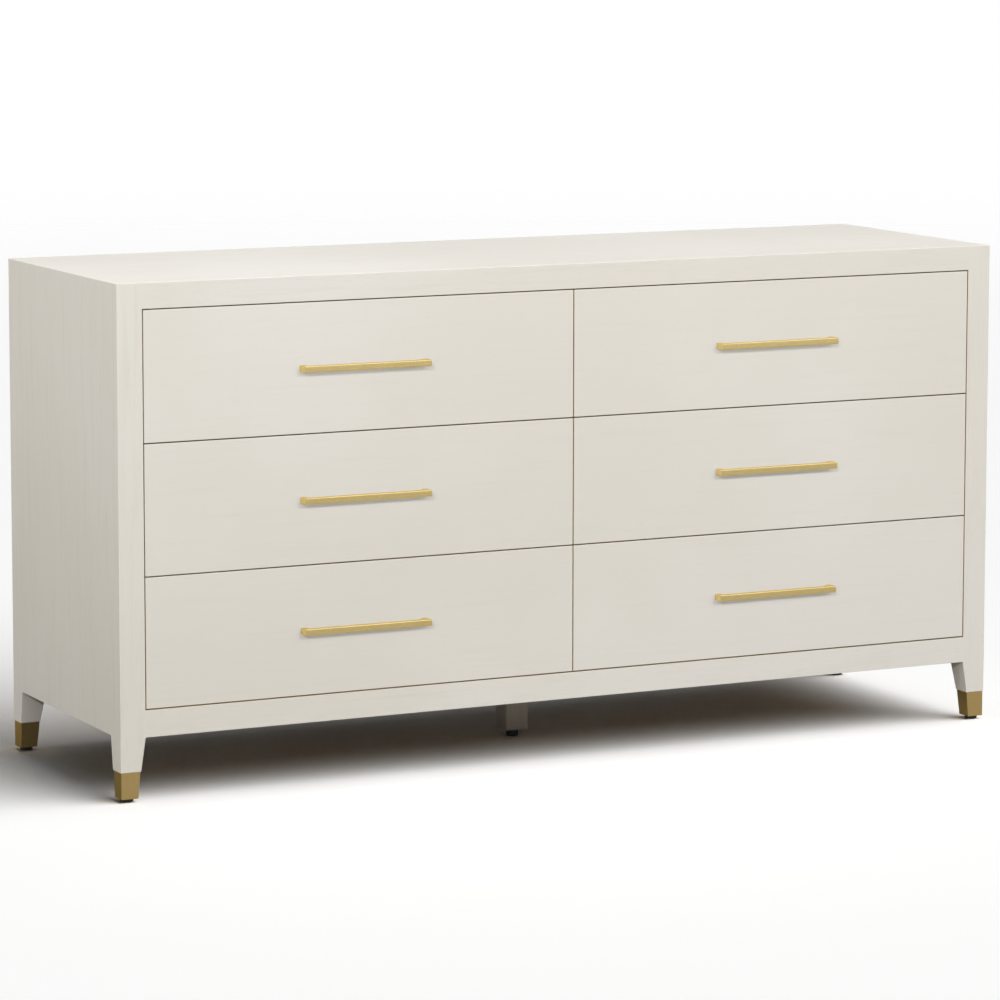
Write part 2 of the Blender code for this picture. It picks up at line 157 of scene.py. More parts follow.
class Graph:
    """Short calls for building one material's nodes."""

    def __init__(self, name):
        self.material = bpy.data.materials.new(name)
        self.material.use_nodes = True
        self.tree = self.material.node_tree
        self.shader = self.tree.nodes["Principled BSDF"]
        self.place = self.add("ShaderNodeTexCoord").outputs["Object"]

    def add(self, kind, **settings):
        """Add a node of a kind, with its settings."""
        node = self.tree.nodes.new(kind)
        for setting, value in settings.items():
            setattr(node, setting, value)
        return node

    def feed(self, socket, value):
        """Link a socket if value is an output, or set its constant."""
        if isinstance(value, bpy.types.NodeSocket):
            self.tree.links.new(value, socket)
        else:
            socket.default_value = value

    def stretch(self, scale):
        """Object coordinates, scaled along each axis."""
        node = self.add("ShaderNodeMapping")
        self.feed(node.inputs["Vector"], self.place)
        node.inputs["Scale"].default_value = scale
        return node.outputs["Vector"]

    def noise(self, vector, detail=3.0, roughness=0.55, distortion=0.0):
        """Noise whose size is set by the vector's scale."""
        node = self.add("ShaderNodeTexNoise")
        self.feed(node.inputs["Vector"], vector)
        node.inputs["Scale"].default_value = 1.0
        node.inputs["Detail"].default_value = detail
        node.inputs["Roughness"].default_value = roughness
        node.inputs["Distortion"].default_value = distortion
        return node.outputs["Fac"]

    def ramp(self, value, low, high, out_low=0.0, out_high=1.0):
        """Map low..high of a value to out_low..out_high, smoothly and clamped."""
        node = self.add("ShaderNodeMapRange", interpolation_type="SMOOTHSTEP")
        self.feed(node.inputs["Value"], value)
        node.inputs["From Min"].default_value = low
        node.inputs["From Max"].default_value = high
        node.inputs["To Min"].default_value = out_low
        node.inputs["To Max"].default_value = out_high
        return node.outputs["Result"]

    def math(self, operation, a, b):
        """Work out a sum or other operation on two values."""
        node = self.add("ShaderNodeMath", operation=operation)
        self.feed(node.inputs[0], a)
        self.feed(node.inputs[1], b)
        return node.outputs["Value"]

    def mix(self, share, a, b):
        """Mix two colours, where share is how much of the second one shows."""
        node = self.add("ShaderNodeMix", data_type="RGBA")
        self.feed(node.inputs["Factor"], share)
        self.feed(node.inputs["A"], a)
        self.feed(node.inputs["B"], b)
        return node.outputs["Result"]

    def bump(self, height, distance, strength=1.0, base=None):
        """A normal tilted by a height, on top of a base normal if there is one."""
        node = self.add("ShaderNodeBump")
        self.feed(node.inputs["Height"], height)
        node.inputs["Distance"].default_value = distance
        node.inputs["Strength"].default_value = strength
        if base is not None:
            self.feed(node.inputs["Normal"], base)
        return node.outputs["Normal"]

    def finish(self, color, roughness, normal=None):
        """Feed the shader and return the material."""
        self.feed(self.shader.inputs["Base Color"], color)
        self.feed(self.shader.inputs["Roughness"], roughness)
        if normal is not None:
            self.feed(self.shader.inputs["Normal"], normal)
        return self.material


def rgb(red, green, blue):
    """An opaque colour in linear values."""
    return (red, green, blue, 1.0)


def along(axis, with_grain, across_grain):
    """A scale that is low along the grain's axis and high across it."""
    scale = [across_grain] * 3
    scale["XYZ".index(axis)] = with_grain
    return scale


def paint(name, grain, grain_show):
    """Satin cream paint over open-grained wood, with the grain along one axis.

    grain_show is how far the grain shows through the paint, up to 1.
    """
    graph = Graph(name)
    clouds = graph.noise(graph.stretch((1.7, 1.7, 1.7)), 3.0)
    streaks = graph.noise(graph.stretch(along(grain, 5.0, 95.0)), 4.0, 0.6, 0.3)
    pores = graph.noise(graph.stretch(along(grain, 34.0, 900.0)), 2.0, 0.5)
    lines = graph.noise(graph.stretch(along(grain, 9.0, 330.0)), 3.0, 0.6)
    film = graph.noise(graph.stretch((420.0, 420.0, 420.0)), 2.0)

    warm = rgb(0.777, 0.741, 0.675)
    cool = rgb(0.805, 0.775, 0.720)
    over_streaks = rgb(0.660, 0.628, 0.560)
    in_pores = rgb(0.520, 0.480, 0.400)
    color = graph.mix(graph.ramp(clouds, 0.35, 0.65), warm, cool)
    streak_share = graph.ramp(streaks, 0.48, 0.74, 0.0, 0.30 * grain_show)
    color = graph.mix(streak_share, color, over_streaks)
    pore_share = graph.ramp(pores, 0.60, 0.74, 0.0, 0.26 * grain_show)
    color = graph.mix(pore_share, color, in_pores)

    roughness = graph.ramp(graph.math("ADD", streaks, clouds), 0.7, 1.3, 0.36, 0.50)
    normal = graph.bump(graph.ramp(pores, 0.56, 0.74, 1.0, 0.0), 0.00010, 0.8 * grain_show)
    normal = graph.bump(lines, 0.00006, 0.5 * grain_show, normal)
    normal = graph.bump(film, 0.00002, 0.5, normal)
    return graph.finish(color, roughness, normal)


def wood(name, grain, light, dark, fleck=0.25, roughness=(0.48, 0.62)):
    """Clear-lacquered wood with growth rings stretched along one axis.

    fleck is how dark the fibres show, and roughness is the lowest and the highest.
    """
    graph = Graph(name)
    bend = graph.noise(graph.stretch(along(grain, 1.3, 7.0)), 2.0)
    rings = graph.noise(graph.stretch(along(grain, 1.6, 60.0)), 4.0, 0.62, 0.9)
    fibres = graph.noise(graph.stretch(along(grain, 14.0, 800.0)), 3.0, 0.6)
    color = graph.mix(graph.ramp(rings, 0.32, 0.70), light, dark)
    color = graph.mix(graph.ramp(bend, 0.3, 0.7, 0.0, 0.35), color, light)
    in_fibres = rgb(0.24, 0.14, 0.07)
    color = graph.mix(graph.ramp(fibres, 0.50, 0.75, 0.0, fleck), color, in_fibres)
    rough = graph.ramp(fibres, 0.3, 0.7, *roughness)
    normal = graph.bump(graph.math("ADD", fibres, rings), 0.00008, 0.6)
    return graph.finish(color, rough, normal)


def end_grain(name, light, dark):
    """Sawn end of a board: fine open pores with growth rings across it."""
    graph = Graph(name)
    rings = graph.noise(graph.stretch((160.0, 160.0, 160.0)), 4.0, 0.6, 0.4)
    pores = graph.noise(graph.stretch((1500.0, 1500.0, 1500.0)), 2.0)
    color = graph.mix(graph.ramp(rings, 0.35, 0.65), light, dark)
    in_pores = rgb(0.16, 0.09, 0.045)
    color = graph.mix(graph.ramp(pores, 0.55, 0.7, 0.0, 0.5), color, in_pores)
    return graph.finish(color, graph.ramp(pores, 0.3, 0.7, 0.6, 0.8), graph.bump(pores, 0.0001, 0.7))


def brushed_metal(name, base, tint, edge, grain, roughness):
    """Metal with fine brush lines along one axis, slight cloudiness and small marks.

    edge is the colour that the metal reflects at a low angle, and roughness is the lowest and the
    highest.
    """
    graph = Graph(name)
    brush = graph.noise(graph.stretch(along(grain, 14.0, 2600.0)), 3.0, 0.7)
    cloud = graph.noise(graph.stretch((38.0, 38.0, 38.0)), 3.0)
    marks = graph.noise(graph.stretch(along(grain, 90.0, 420.0)), 2.0, 0.6)
    color = graph.mix(graph.ramp(brush, 0.3, 0.7, 0.0, 0.6), base, tint)
    color = graph.mix(graph.ramp(cloud, 0.45, 0.75, 0.0, 0.25), color, tint)
    rough = graph.ramp(brush, 0.3, 0.7, *roughness)
    rough = graph.math("ADD", rough, graph.ramp(marks, 0.58, 0.75, 0.0, 0.12))
    graph.shader.inputs["Metallic"].default_value = 1.0
    graph.shader.inputs["Specular Tint"].default_value = edge
    return graph.finish(color, rough, graph.bump(brush, 0.000010, 0.4))


def plated_steel(name):
    """Zinc-plated sheet steel: pale spangle, soft scratches along the travel."""
    graph = Graph(name)
    spangle = graph.add("ShaderNodeTexVoronoi", feature="F1")
    graph.feed(spangle.inputs["Vector"], graph.stretch((160.0, 160.0, 160.0)))
    spangle.inputs["Scale"].default_value = 1.0
    scratch = graph.noise(graph.stretch(along("Y", 6.0, 1700.0)), 3.0, 0.7)
    pale = rgb(0.665, 0.672, 0.678)
    grey = rgb(0.51, 0.517, 0.527)
    scratched = rgb(0.74, 0.75, 0.76)
    color = graph.mix(graph.ramp(spangle.outputs["Distance"], 0.1, 0.8), pale, grey)
    color = graph.mix(graph.ramp(scratch, 0.55, 0.75, 0.0, 0.4), color, scratched)
    graph.shader.inputs["Metallic"].default_value = 1.0
    return graph.finish(color, graph.ramp(scratch, 0.3, 0.7, 0.27, 0.42), graph.bump(scratch, 0.00001, 0.5))


def moulded_nylon(name, color):
    """Matt moulded plastic with a fine spark-eroded texture and scuffs."""
    graph = Graph(name)
    texture = graph.noise(graph.stretch((2400.0, 2400.0, 2400.0)), 2.0)
    scuffs = graph.noise(graph.stretch((180.0, 180.0, 700.0)), 3.0, 0.65)
    scuffed = rgb(*(2.6 * value + 0.01 for value in color[:3]))
    shade = graph.mix(graph.ramp(scuffs, 0.52, 0.72, 0.0, 0.6), color, scuffed)
    return graph.finish(shade, graph.ramp(scuffs, 0.35, 0.7, 0.42, 0.62), graph.bump(texture, 0.00003, 0.6))


def make_materials():
    """Make every material once, by the name that the rest of the script calls it."""
    pale = rgb(0.66, 0.50, 0.335)
    ring = rgb(0.53, 0.37, 0.225)
    pale_ply = rgb(0.60, 0.455, 0.30)
    dark_ply = rgb(0.50, 0.36, 0.225)
    pale_edge = rgb(0.62, 0.50, 0.285)
    dark_edge = rgb(0.52, 0.410, 0.210)
    pale_end = rgb(0.50, 0.34, 0.19)
    dark_end = rgb(0.36, 0.22, 0.11)
    handle_brass = (rgb(0.92, 0.740, 0.352), rgb(0.87, 0.672, 0.290))
    cap_brass = (rgb(0.63, 0.470, 0.210), rgb(0.56, 0.408, 0.168))
    brass_glow = rgb(0.92, 0.76, 0.45)
    ball_steel = (rgb(0.62, 0.63, 0.65), rgb(0.50, 0.51, 0.53))
    white = rgb(1.0, 1.0, 1.0)
    return {
        "paint_x": paint("cream_paint_lengthwise", "X", 0.7),
        "paint_z": paint("cream_paint_upright", "Z", 0.8),
        "paint_front": paint("cream_paint_drawers", "X", 0.35),
        "inside": wood("case_inside", "Z", pale, ring, 0.2, (0.5, 0.66)),
        "raw_edge": wood("raw_edges", "X", pale_edge, dark_edge, 0.2, (0.6, 0.75)),
        "wood_x": wood("drawer_wood_lengthwise", "X", pale, ring),
        "wood_y": wood("drawer_wood_front_to_back", "Y", pale, ring),
        "wood_z": wood("divider_wood", "Z", pale, ring),
        "end": end_grain("drawer_wood_ends", pale_end, dark_end),
        "sheet_x": wood("plywood", "X", pale_ply, dark_ply, 0.3, (0.55, 0.7)),
        "brass_x": brushed_metal("satin_brass_handle", *handle_brass, brass_glow, "X", (0.24, 0.36)),
        "brass_z": brushed_metal("satin_brass_cap", *cap_brass, brass_glow, "Z", (0.28, 0.40)),
        "zinc": plated_steel("zinc_plated_steel"),
        "ball": brushed_metal("bearing_steel", *ball_steel, white, "Y", (0.08, 0.2)),
        "nylon": moulded_nylon("black_nylon", rgb(0.012, 0.012, 0.013)),
        "cage": moulded_nylon("grey_nylon", rgb(0.16, 0.165, 0.17)),
    }


# Mesh helpers ---------------------------------------------------------------------------------


def make_piece(name, mesh_data, materials, body, nodes=()):
    """Turn a bmesh into a named piece that rides on a body and may stand for CAD nodes."""
    mesh = bpy.data.meshes.new(name)
    mesh_data.normal_update()
    mesh_data.to_mesh(mesh)
    mesh_data.free()
    for material in materials:
        mesh.materials.append(material)
    piece = bpy.data.objects.new(name, mesh)
    bpy.context.scene.collection.objects.link(piece)
    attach(piece, body)
    if nodes:
        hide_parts(*nodes)
    return piece


def apply_modifiers(piece):
    """Replace a piece's mesh with its evaluated one, so that the shape is plain geometry."""
    graph = bpy.context.evaluated_depsgraph_get()
    graph.update()
    mesh = bpy.data.meshes.new_from_object(piece.evaluated_get(graph))
    piece.modifiers.clear()
    piece.data = mesh


def smooth(piece, angle=SHARP_ANGLE):
    """Smooth shading with weighted normals, so that eased edges catch light and faces stay flat."""
    for face in piece.data.polygons:
        face.use_smooth = True
    piece.data.set_sharp_from_angle(angle=angle)
    weighted = piece.modifiers.new("weighted normals", "WEIGHTED_NORMAL")
    weighted.keep_sharp = True
    weighted.weight = FLAT_FACE_WEIGHT


def ease(piece, width, segments, limit="ANGLE"):
    """Round the edges of a piece, the sharp ones or, with limit WEIGHT, the weighted ones."""
    bevel = piece.modifiers.new("easing", "BEVEL")
    bevel.width = width
    bevel.segments = segments
    bevel.limit_method = limit
    bevel.angle_limit = EASED_ANGLE


def add_box(mesh_data, low, high):
    """Add a closed box between two corners to a bmesh."""
    low = Vector(low)
    high = Vector(high)
    place = Matrix.Translation((low + high) / 2) @ Matrix.Diagonal((*(high - low), 1.0))
    bmesh.ops.create_cube(mesh_data, size=1.0, matrix=place)


def add_prism(mesh_data, outline, axis, low, high):
    """Add a closed prism: an outline in the plane square to axis, swept from low to high.

    Each pair in the outline is a corner's other two coordinates, in X, Y, Z order.
    """
    index = "XYZ".index(axis)

    def point(pair, level):
        coordinates = list(pair)
        coordinates.insert(index, level)
        return Vector(coordinates)

    base = [mesh_data.verts.new(point(pair, low)) for pair in outline]
    face = mesh_data.faces.new(base)
    swept = bmesh.ops.extrude_face_region(mesh_data, geom=[face])["geom"]
    top = [item for item in swept if isinstance(item, bmesh.types.BMVert)]
    offset = Vector()
    offset[index] = high - low
    bmesh.ops.translate(mesh_data, verts=top, vec=offset)
    faces = {linked for corner in base + top for linked in corner.link_faces}
    bmesh.ops.recalc_face_normals(mesh_data, faces=list(faces))


def add_turned(mesh_data, centre, normal, rings):
    """Add a closed solid that stands on a surface.

    It is made of rings round the normal, each given as its radii and its height.
    """
    turn = Vector(normal).to_track_quat("Z", "Y").to_matrix().to_4x4()
    place = Matrix.Translation(Vector(centre)) @ turn
    corners = []
    for radii, level in rings:
        ring = []
        for step, radius in enumerate(radii):
            angle = 2 * math.pi * step / len(radii)
            offset = Vector((radius * math.cos(angle), radius * math.sin(angle), level))
            ring.append(mesh_data.verts.new(place @ offset))
        corners.append(ring)
    for lower, upper in zip(corners, corners[1:]):
        for step, corner in enumerate(lower):
            after = (step + 1) % len(lower)
            mesh_data.faces.new((corner, lower[after], upper[after], upper[step]))
    mesh_data.faces.new(corners[-1])
    mesh_data.faces.new(list(reversed(corners[0])))


def round_rings(profile, radius, height):
    """Rings for add_turned from a profile of shares of a radius and a height."""
    return [([radius * share] * HEAD_SIDES, height * level) for share, level in profile]


def add_washer(mesh_data, centre, normal, radius, height):
    """Add a flat round washer with an eased rim, without its hole, which the screw head covers."""
    add_turned(mesh_data, centre, normal, round_rings(WASHER_PROFILE, radius, height))


def add_screw_head(mesh_data, centre, normal, radius, height):
    """Add a pan head with a cross recess sunk into its top."""
    cross = []
    for step in range(HEAD_SIDES):
        off_arm = (2 * math.pi * step / HEAD_SIDES + math.pi / 4) % (math.pi / 2) - math.pi / 4
        flank = RECESS_ARM / max(abs(math.sin(off_arm)), RECESS_ARM)
        cross.append(radius * min(RECESS_REACH, flank))
    rings = round_rings(HEAD_PROFILE, radius, height)
    rings.append((cross, height))
    rings.append(([reach * RECESS_TAPER for reach in cross], height * RECESS_FLOOR))
    add_turned(mesh_data, centre, normal, rings)


# Painted case ---------------------------------------------------------------------------------


def subtract_boxes(piece, spans):
    """Cut boxes out of a piece."""
    cutters = []
    for low, high in spans:
        mesh_data = bmesh.new()
        add_box(mesh_data, low, high)
        mesh = bpy.data.meshes.new("cutter")
        mesh_data.to_mesh(mesh)
        mesh_data.free()
        cutter = bpy.data.objects.new("cutter", mesh)
        bpy.context.scene.collection.objects.link(cutter)
        cut = piece.modifiers.new("cut", "BOOLEAN")
        cut.operation = "DIFFERENCE"
        cut.solver = "EXACT"
        cut.object = cutter
        cutters.append(cutter)
    bpy.context.view_layer.update()
    apply_modifiers(piece)
    for cutter in cutters:
        bpy.data.objects.remove(cutter)


def taper_legs(mesh_data, outer_low, outer_high, foot_z):
    """Draw the inner faces of the four square legs in towards their outer corners at the foot."""
    centre = (outer_low + outer_high) / 2
    for corner in mesh_data.verts:
        if abs(corner.co.z - foot_z) > SAME_PLACE:
            continue
        for axis in (0, 1):
            outer = outer_low[axis] if corner.co[axis] < centre[axis] else outer_high[axis]
            if abs(corner.co[axis] - outer) > SAME_PLACE:
                inward = 1.0 if corner.co[axis] < centre[axis] else -1.0
                corner.co[axis] = outer + inward * LEG_FOOT_WIDTH


def weigh_case_edges(mesh_data, low, high, foot_z):
    """Full easing on the outside edges, less round the opening and least at the leg ends.

    Inner corners get none, and neither do edges that hardly turn.
    """
    weights = mesh_data.edges.layers.float.new("bevel_weight_edge")
    for edge in mesh_data.edges:
        turn = edge.calc_face_angle_signed(0.0)
        if len(edge.link_faces) != 2 or abs(turn) < UNEASED_TURN:
            continue
        ends = [corner.co for corner in edge.verts]
        if all(abs(end.z - foot_z) < SAME_PLACE for end in ends):
            edge[weights] = LEG_END_SHARE
            continue
        if turn < 0.0:
            continue
        outside = 0
        for axis in range(3):
            for limit in (low[axis], high[axis]):
                if all(abs(end[axis] - limit) < SAME_PLACE for end in ends):
                    outside += 1
        edge[weights] = 1.0 if outside >= 2 else OPENING_EDGE_SHARE


def choose_case_materials(mesh, opening, rail_top):
    """Paint with its grain up the sides, stiles and legs, and along the top and the rails.

    The inside of the opening is bare wood, and so is the top of the bottom rail.
    """
    lengthwise, upright, inside, raw = 0, 1, 2, 3
    for face in mesh.polygons:
        normal = face.normal
        middle = face.center
        in_opening = opening[0].x - SAME_PLACE < middle.x < opening[1].x + SAME_PLACE
        if abs(normal.x) > SQUARE_SHARE and in_opening and middle.z > rail_top:
            face.material_index = inside
        elif normal.z < -SQUARE_SHARE and abs(middle.z - opening[1].z) < SAME_PLACE:
            face.material_index = inside
        elif normal.z > SQUARE_SHARE and abs(middle.z - rail_top) < SAME_PLACE:
            face.material_index = raw
        elif abs(normal.z) > SQUARE_SHARE:
            face.material_index = lengthwise
        elif abs(normal.x) > SQUARE_SHARE:
            face.material_index = upright
        elif in_opening:
            face.material_index = lengthwise
        else:
            face.material_index = upright


def split_face_frame(mesh_data, opening):
    """Part the front and back faces where the stiles meet the rails, for the grain's direction."""
    for x in (opening[0].x, opening[1].x):
        bmesh.ops.bisect_plane(
            mesh_data,
            geom=mesh_data.verts[:] + mesh_data.edges[:] + mesh_data.faces[:],
            plane_co=(x, 0.0, 0.0),
            plane_no=(1.0, 0.0, 0.0),
        )


def case_cuts(low, high, stile, rail, top_z):
    """Boxes cut from the case's block, each a pair of corners, with the opening first.

    They reach beyond the block where they open to the outside.  top_z is the top panel's underside.
    """
    rail_low, rail_high = rail
    inner_left = low.x + stile
    inner_right = high.x - stile
    front = low.y - CUT_BEYOND
    back = high.y + CUT_BEYOND
    below = low.z - CUT_BEYOND
    opening = (Vector((inner_left, front, rail_high.z)), Vector((inner_right, back, top_z)))
    behind_rail = (
        Vector((inner_left, rail_high.y, below)),
        Vector((inner_right, back, top_z - CUT_BEYOND)),
    )
    under_rail = (Vector((inner_left, front, below)), Vector((inner_right, back, rail_low.z)))
    between_legs = (
        Vector((low.x - CUT_BEYOND, low.y + stile, below)),
        Vector((high.x + CUT_BEYOND, high.y - stile, rail_low.z)),
    )
    return opening, behind_rail, under_rail, between_legs


def make_painted_case(looks):
    """One unbroken painted skin for the top, sides, legs and bottom rail, which show no joints."""
    top_low, top_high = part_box("top_panel")
    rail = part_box("bottom_rail")
    side_low, side_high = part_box("side_frame_left")
    foot_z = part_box("ferrule_front_left")[1].z + CAP_CLEARANCE
    low = Vector((top_low.x, top_low.y, foot_z))
    high = Vector(top_high)
    cuts = case_cuts(low, high, side_high.x - side_low.x, rail, top_low.z)
    opening = cuts[0]
    block = bmesh.new()
    add_box(block, low, high)
    materials = [looks["paint_x"], looks["paint_z"], looks["inside"], looks["raw_edge"]]
    case = make_piece(
        "painted_case",
        block,
        materials,
        "carcass",
        ("top_panel", "side_frame_left", "side_frame_right", "bottom_rail"),
    )
    subtract_boxes(case, cuts)

    shaped = bmesh.new()
    shaped.from_mesh(case.data)
    bmesh.ops.remove_doubles(shaped, verts=shaped.verts, dist=MERGE_DISTANCE)
    bmesh.ops.dissolve_limit(shaped, angle_limit=FLAT_ANGLE, verts=shaped.verts, edges=shaped.edges)
    taper_legs(shaped, low, high, foot_z)
    shaped.normal_update()
    weigh_case_edges(shaped, low, high, foot_z)
    shaped.to_mesh(case.data)
    shaped.free()
    ease(case, OUTER_EDGE, 4, "WEIGHT")
    apply_modifiers(case)

    split = bmesh.new()
    split.from_mesh(case.data)
    split_face_frame(split, opening)
    split.to_mesh(case.data)
    split.free()
    choose_case_materials(case.data, opening, rail[1].z)
    smooth(case)


# Drawers --------------------------------------------------------------------------------------


def tail_spans(low, high):
    """Heights (lower narrow, lower wide, upper wide, upper narrow) of each dovetail of a corner."""
    pitch = (high - low) / TAIL_COUNT
    flare = TAIL_SLOPE * BOARD
    spans = []
    for tail in range(TAIL_COUNT):
        middle = low + (tail + 0.5) * pitch
        half = pitch * TAIL_HALF_SHARE
        spans.append((middle - half + flare, middle - half, middle + half, middle + half - flare))
    return spans


def side_outline(front, back, low, high, spans):
    """A drawer side seen from the side: dovetails reach through the front and back boards."""
    outline = [(front + BOARD, low)]
    for narrow_low, wide_low, wide_high, narrow_high in spans:
        outline += [
            (front + BOARD, narrow_low),
            (front, wide_low),
            (front, wide_high),
            (front + BOARD, narrow_high),
        ]
    outline += [(front + BOARD, high), (back - BOARD, high)]
    for narrow_low, wide_low, wide_high, narrow_high in reversed(spans):
        outline += [
            (back - BOARD, narrow_high),
            (back, wide_high),
            (back, wide_low),
            (back - BOARD, narrow_low),
        ]
    outline.append((back - BOARD, low))
    return outline


def pin_outlines(face, inner, low, high, spans):
    """The pins between the dovetails, from a board's outer face to its inner one."""
    outlines = []
    lower_face, lower_inner = low, low
    for narrow_low, wide_low, wide_high, narrow_high in spans:
        outlines.append(
            [(face, lower_face), (face, wide_low - FIT), (inner, narrow_low - FIT), (inner, lower_inner)]
        )
        lower_face, lower_inner = wide_high + FIT, narrow_high + FIT
    outlines.append([(face, lower_face), (face, high), (inner, high), (inner, lower_inner)])
    return outlines


def mark_end_grain(piece, axis):
    """Give the faces square to the grain's axis their own material."""
    index = "XYZ".index(axis)
    for face in piece.data.polygons:
        face.material_index = 1 if abs(face.normal[index]) > END_GRAIN_SHARE else 0


def make_drawer_box(label, looks):
    """Dovetailed boards round a plywood bottom, let into the boards and under the back one."""
    node = f"drawer_box_{label}"
    body = f"drawer_{label}"
    low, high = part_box(node)
    spans = tail_spans(low.z, high.z)

    for place, near, far in (("left", low.x, low.x + BOARD), ("right", high.x - BOARD, high.x)):
        board = bmesh.new()
        add_prism(board, side_outline(low.y, high.y, low.z, high.z, spans), "X", near, far)
        side = make_piece(
            f"box_side_{place}_{label}", board, [looks["wood_y"], looks["end"]], body, (node,)
        )
        ease(side, BOARD_EASING, 2)
        apply_modifiers(side)
        mark_end_grain(side, "Y")
        smooth(side)

    for place, face, inner in (("front", low.y, low.y + BOARD), ("back", high.y, high.y - BOARD)):
        board = bmesh.new()
        near, far = sorted((face, inner))
        bottom = low.z if place == "front" else low.z + BOTTOM_RISE + BOTTOM_THICKNESS
        add_box(
            board,
            (low.x + BOARD + FIT, near, bottom),
            (high.x - BOARD - FIT, far, high.z),
        )
        for outer, within in ((low.x, low.x + BOARD + 2 * FIT), (high.x - BOARD - 2 * FIT, high.x)):
            for outline in pin_outlines(face, inner, low.z, high.z, spans):
                add_prism(board, outline, "X", outer, within)
        end = make_piece(
            f"box_{place}_{label}", board, [looks["wood_x"], looks["end"]], body, (node,)
        )
        ease(end, THIN_EASING, 1)
        apply_modifiers(end)
        mark_end_grain(end, "X")
        smooth(end)

    sheet = bmesh.new()
    add_box(
        sheet,
        (low.x + BOARD - GROOVE, low.y + BOARD - GROOVE, low.z + BOTTOM_RISE),
        (high.x - BOARD + GROOVE, high.y - BOTTOM_SETBACK, low.z + BOTTOM_RISE + BOTTOM_THICKNESS),
    )
    bottom = make_piece(f"box_bottom_{label}", sheet, [looks["sheet_x"]], body, (node,))
    ease(bottom, THIN_EASING, 1)
    smooth(bottom)


def make_drawer_front(label, looks):
    """Flat painted front with softly rounded edges, its four sides bare wood behind the rounding."""
    node = f"drawer_front_{label}"
    low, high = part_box(node)
    panel = bmesh.new()
    add_box(panel, low, high)
    materials = [looks["paint_front"], looks["raw_edge"]]
    front = make_piece(f"front_{label}", panel, materials, f"drawer_{label}", (node,))
    ease(front, FRONT_EASING, 3)
    apply_modifiers(front)
    behind_rounding = low.y + FRONT_EASING * 1.5
    for face in front.data.polygons:
        is_side = abs(face.normal.y) < SQUARE_SHARE and face.center.y > behind_rounding
        face.material_index = 1 if is_side else 0
    smooth(front)


def make_handle_screws(label, looks):
    """A washer and a screw head inside the drawer behind each post of the handle."""
    low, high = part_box(f"handle_{label}")
    bar = high.z - low.z
    inner_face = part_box(f"drawer_box_{label}")[0].y + BOARD
    middle_z = (low.z + high.z) / 2
    fixings = bmesh.new()
    for x in (low.x + bar / 2, high.x - bar / 2):
        on_wood = (x, inner_face, middle_z)
        on_washer = (x, inner_face + WASHER_THICKNESS, middle_z)
        add_washer(fixings, on_wood, (0, 1, 0), WASHER_RADIUS, WASHER_THICKNESS)
        add_screw_head(fixings, on_washer, (0, 1, 0), HANDLE_SCREW_RADIUS, HANDLE_SCREW_HEIGHT)
    screws = make_piece(f"handle_screws_{label}", fixings, [looks["zinc"]], f"drawer_{label}")
    smooth(screws)


def make_handle(label, looks):
    """Square brass bar with a post at each end and softly rounded edges."""
    node = f"handle_{label}"
    low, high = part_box(node)
    bar = high.z - low.z
    outline = [
        (low.x, low.y),
        (high.x, low.y),
        (high.x, high.y),
        (high.x - bar, high.y),
        (high.x - bar, low.y + bar),
        (low.x + bar, low.y + bar),
        (low.x + bar, high.y),
        (low.x, high.y),
    ]
    solid = bmesh.new()
    add_prism(solid, outline, "Z", low.z, high.z)
    handle = make_piece(f"pull_{label}", solid, [looks["brass_x"]], f"drawer_{label}", (node,))
    ease(handle, HANDLE_EASING, 4)
    apply_modifiers(handle)
    smooth(handle)
    # The brass throws no yellow glow on the paint round it.
    handle.visible_diffuse = False
    return handle


# Slides ---------------------------------------------------------------------------------------


def make_bearing(label, place, runner, slider, looks):
    """Two rows of balls in their cages near the mouth of a slide, between runner and slider."""
    runner_low, runner_high = runner
    slider_low, slider_high = slider
    middle_z = (runner_low.z + runner_high.z) / 2
    ball_x = (max(runner_low.x, slider_low.x) + min(runner_high.x, slider_high.x)) / 2
    race = ((runner_high.z - middle_z - SHEET) + (slider_high.z - middle_z)) / 2
    rows = (middle_z - race, middle_z + race)
    start = runner_low.y + CAGE_SETBACK
    count = int(CAGE_LENGTH / BALL_SPACING)

    balls = bmesh.new()
    for z in rows:
        for step in range(count):
            bmesh.ops.create_uvsphere(
                balls,
                u_segments=BALL_SEGMENTS,
                v_segments=BALL_RINGS,
                radius=BALL_RADIUS,
                matrix=Matrix.Translation((ball_x, start + (step + 0.5) * BALL_SPACING, z)),
            )
    bearing = make_piece(f"slide_balls_{label}_{place}", balls, [looks["ball"]], "carcass")
    smooth(bearing, ROUND_ANGLE)

    webs = bmesh.new()
    reach = Vector((CAGE_HALF_THICKNESS, CAGE_HALF_WEB, CAGE_HALF_THICKNESS))
    for z in rows:
        for step in range(count + 1):
            centre = Vector((ball_x, start + step * BALL_SPACING, z))
            add_box(webs, centre - reach, centre + reach)
    cage = make_piece(f"slide_cage_{label}_{place}", webs, [looks["cage"]], "carcass")
    ease(cage, CAGE_EASING, 1)
    smooth(cage)


def make_slide_screws(name, body, face_x, facing, places, middle_z, looks):
    """Screw heads in a row on the inner face of a channel, at places from front to back."""
    fixings = bmesh.new()
    for y in places:
        centre = (face_x, y, middle_z)
        add_screw_head(fixings, centre, (facing, 0, 0), SLIDE_SCREW_RADIUS, SLIDE_SCREW_HEIGHT)
    screws = make_piece(name, fixings, [looks["zinc"]], body)
    smooth(screws)


